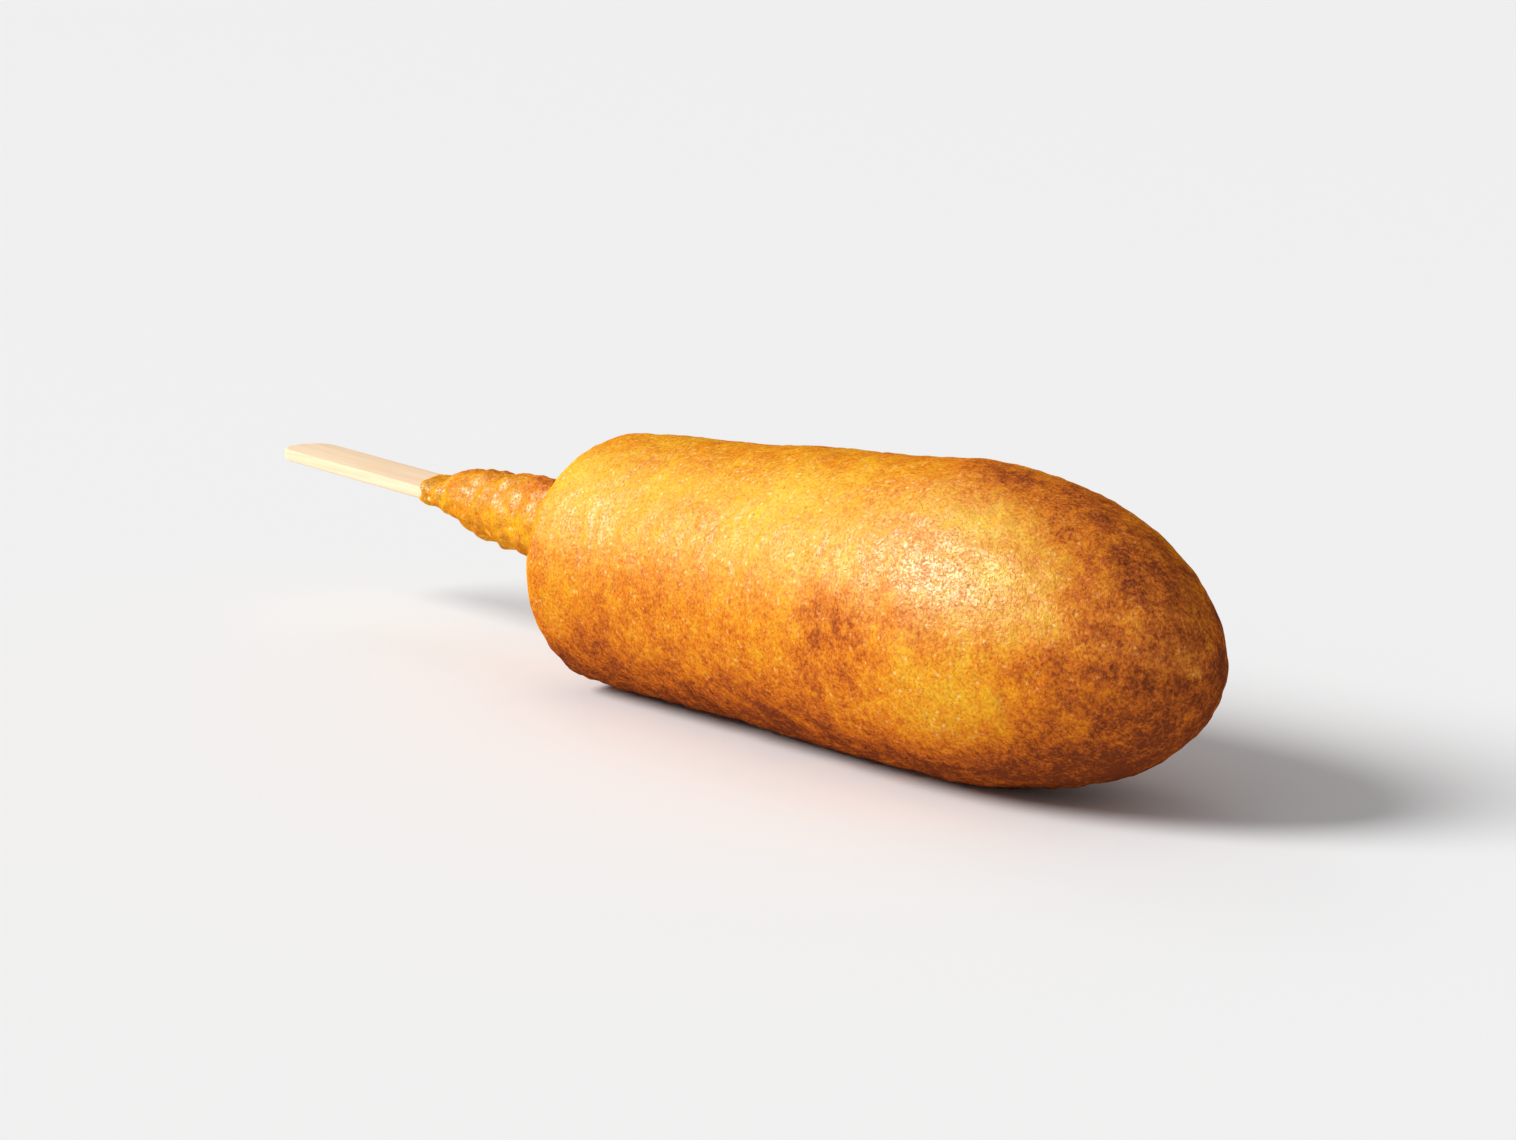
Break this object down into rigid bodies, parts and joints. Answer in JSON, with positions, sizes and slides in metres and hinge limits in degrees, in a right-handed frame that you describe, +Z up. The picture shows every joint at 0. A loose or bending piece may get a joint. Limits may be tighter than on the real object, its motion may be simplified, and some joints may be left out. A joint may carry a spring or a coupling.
{
  "type": "corn dog",
  "caption": "Corn dog lying on its side: a thick body of fried batter whose collar runs down a flat wooden stick with rounded ends.",
  "frame": {"origin": "on the table, under the middle of the whole length", "axes": "+X along the food towards its thick tip, -X along the bare stick, +Z up"},
  "size_m": [0.2112, 0.0426, 0.0421],
  "materials": {
    "fried_batter": null,
    "stick_wood": "bare pale wood with fine grain along its length"
  },
  "bodies": {
    "root": {"crust": "fried_batter", "stick": "stick_wood"}
  },
  "joints": []
}
